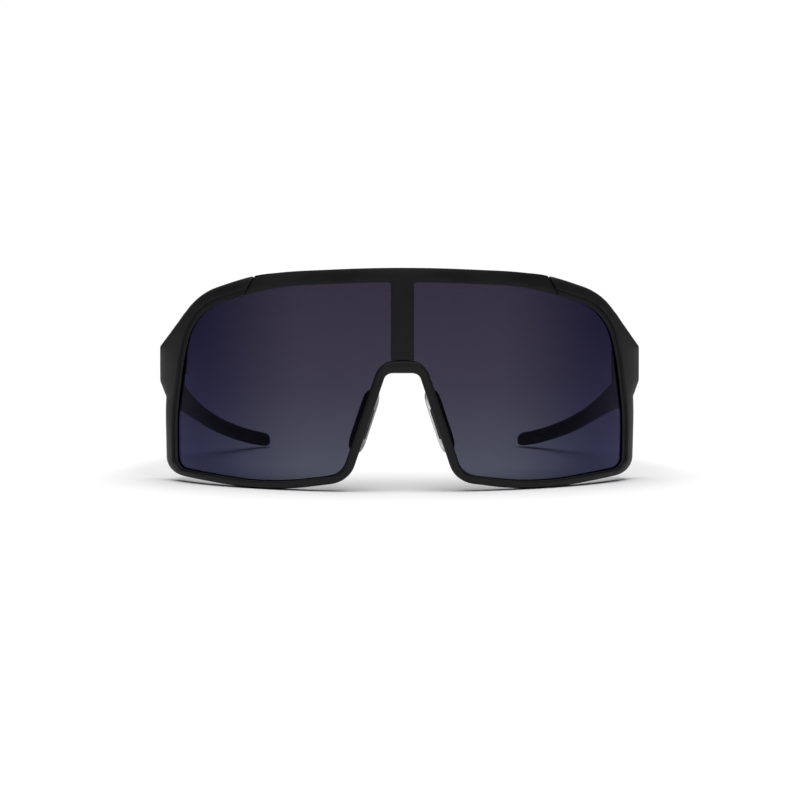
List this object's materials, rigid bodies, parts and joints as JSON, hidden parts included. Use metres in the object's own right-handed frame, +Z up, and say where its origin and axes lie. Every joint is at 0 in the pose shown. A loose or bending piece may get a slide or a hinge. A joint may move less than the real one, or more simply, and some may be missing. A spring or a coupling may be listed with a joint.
{
  "type": "wraparound sport sunglasses",
  "caption": "Wraparound sunglasses: one-piece smoke shield lens in a matte rim with a T-shaped brow bar, clear nose pads and folding temples with rubber tips.",
  "frame": {"origin": "on the resting surface, under the middle of the overall box, with both temples open", "axes": "+Z up, -Y out of the front of the lens, +Y back along the open temples, +X to the wearer's left"},
  "size_m": [0.144, 0.1596, 0.0636],
  "materials": {
    "frame_nylon": "fine matte charcoal moulded nylon",
    "brow_nylon": "matte charcoal moulded nylon",
    "carrier_nylon": "matte dark moulded nylon",
    "temple_nylon": "fine matte charcoal moulded nylon",
    "tip_rubber": "soft matte rubber",
    "smoke_lens": "gloss smoke polycarbonate with a light purple mirror coat, darker at the top",
    "clear_silicone": "clear silicone, satin",
    "hinge_steel": "nickel silver, satin",
    "screw_steel": "turned steel"
  },
  "bodies": {
    "front": {"front_frame": "frame_nylon", "brow_bar": "brow_nylon", "shield_lens": "smoke_lens", "nose_pad_carrier_left": "carrier_nylon", "nose_pad_left": "clear_silicone", "front_hinge_leaf_left": "hinge_steel", "front_leaf_rivet_left": "hinge_steel", "hinge_screw_left": "screw_steel", "nose_pad_carrier_right": "carrier_nylon", "nose_pad_right": "clear_silicone", "front_hinge_leaf_right": "hinge_steel", "front_leaf_rivet_right": "hinge_steel", "hinge_screw_right": "screw_steel"},
    "temple_left": {"temple_arm_left": "temple_nylon", "temple_tip_left": "tip_rubber", "temple_hinge_leaf_left": "hinge_steel", "temple_leaf_rivets_left": "hinge_steel"},
    "temple_right": {"temple_arm_right": "temple_nylon", "temple_tip_right": "tip_rubber", "temple_hinge_leaf_right": "hinge_steel", "temple_leaf_rivets_right": "hinge_steel"}
  },
  "joints": [
    {"name": "temple_left_fold", "type": "hinge", "parent": "front", "child": "temple_left", "pos_m": [0.06565, -0.03432, 0.035], "axis": [0, 0, 1], "range_deg": [0, 86]},
    {"name": "temple_right_fold", "type": "hinge", "parent": "front", "child": "temple_right", "pos_m": [-0.06565, -0.03432, 0.035], "axis": [0, 0, -1], "range_deg": [0, 78]}
  ]
}
